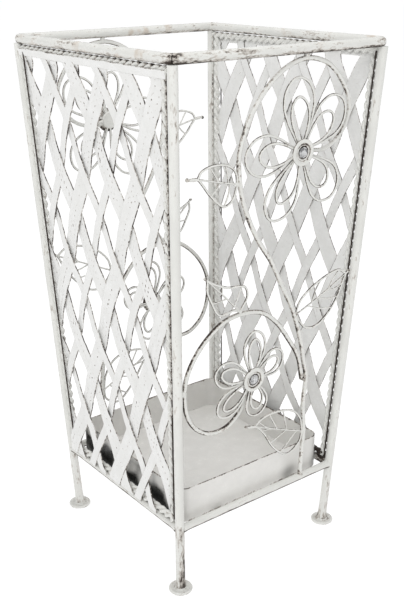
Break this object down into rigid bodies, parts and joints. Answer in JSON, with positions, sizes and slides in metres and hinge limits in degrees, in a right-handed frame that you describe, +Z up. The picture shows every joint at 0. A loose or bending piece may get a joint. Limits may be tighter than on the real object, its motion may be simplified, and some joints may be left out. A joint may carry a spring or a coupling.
{
  "type": "umbrella stand",
  "caption": "Tapered open umbrella stand of white distressed metal with woven lattice sides, wire flower scrolls front and back, and a lift-out drip tray",
  "frame": {"origin": "on the floor under the middle of the stand", "axes": "+Z up, the front scroll panel faces -Y, the lattice panels face -X and +X"},
  "size_m": [0.262, 0.2782, 0.55],
  "materials": {
    "frame_paint": "distressed off-white paint rubbed through to a brown-black patina",
    "strip_paint": "hammered strips in distressed off-white paint",
    "wire_paint": "distressed off-white paint with dark rubbed edges",
    "tray_paint": "satin grey-beige paint with a dark rubbed rim",
    "clear_stone": "clear faceted stone"
  },
  "bodies": {
    "stand": {"post_front_left": "frame_paint", "foot_front_left": "frame_paint", "post_front_right": "frame_paint", "foot_front_right": "frame_paint", "post_back_left": "frame_paint", "foot_back_left": "frame_paint", "post_back_right": "frame_paint", "foot_back_right": "frame_paint", "rim_front": "frame_paint", "rail_front": "frame_paint", "rim_right": "frame_paint", "rail_right": "frame_paint", "rim_back": "frame_paint", "rail_back": "frame_paint", "rim_left": "frame_paint", "rail_left": "frame_paint", "rope_left_top": "frame_paint", "rope_left_bottom": "frame_paint", "rope_left_front": "frame_paint", "rope_left_back": "frame_paint", "lattice_left": "strip_paint", "rope_right_top": "frame_paint", "rope_right_bottom": "frame_paint", "rope_right_front": "frame_paint", "rope_right_back": "frame_paint", "lattice_right": "strip_paint", "front_stem": "wire_paint", "front_ring": "wire_paint", "front_upper_petals": "wire_paint", "front_upper_cup": "wire_paint", "front_lower_petals": "wire_paint", "front_lower_cup": "wire_paint", "front_leaf_top": "wire_paint", "front_leaf_ring": "wire_paint", "front_leaf_side": "wire_paint", "front_leaf_low": "wire_paint", "front_upper_gem": "clear_stone", "front_lower_gem": "clear_stone", "back_stem": "wire_paint", "back_ring": "wire_paint", "back_upper_petals": "wire_paint", "back_upper_cup": "wire_paint", "back_lower_petals": "wire_paint", "back_lower_cup": "wire_paint", "back_leaf_top": "wire_paint", "back_leaf_ring": "wire_paint", "back_leaf_side": "wire_paint", "back_leaf_low": "wire_paint", "back_upper_gem": "clear_stone", "back_lower_gem": "clear_stone", "tray_strap_left": "frame_paint", "tray_strap_right": "frame_paint"},
    "tray": {"tray": "tray_paint"}
  },
  "joints": [
    {"name": "tray_lift", "type": "slide", "parent": "stand", "child": "tray", "axis": [0, 0, 1], "range_m": [0, 0.48]}
  ]
}
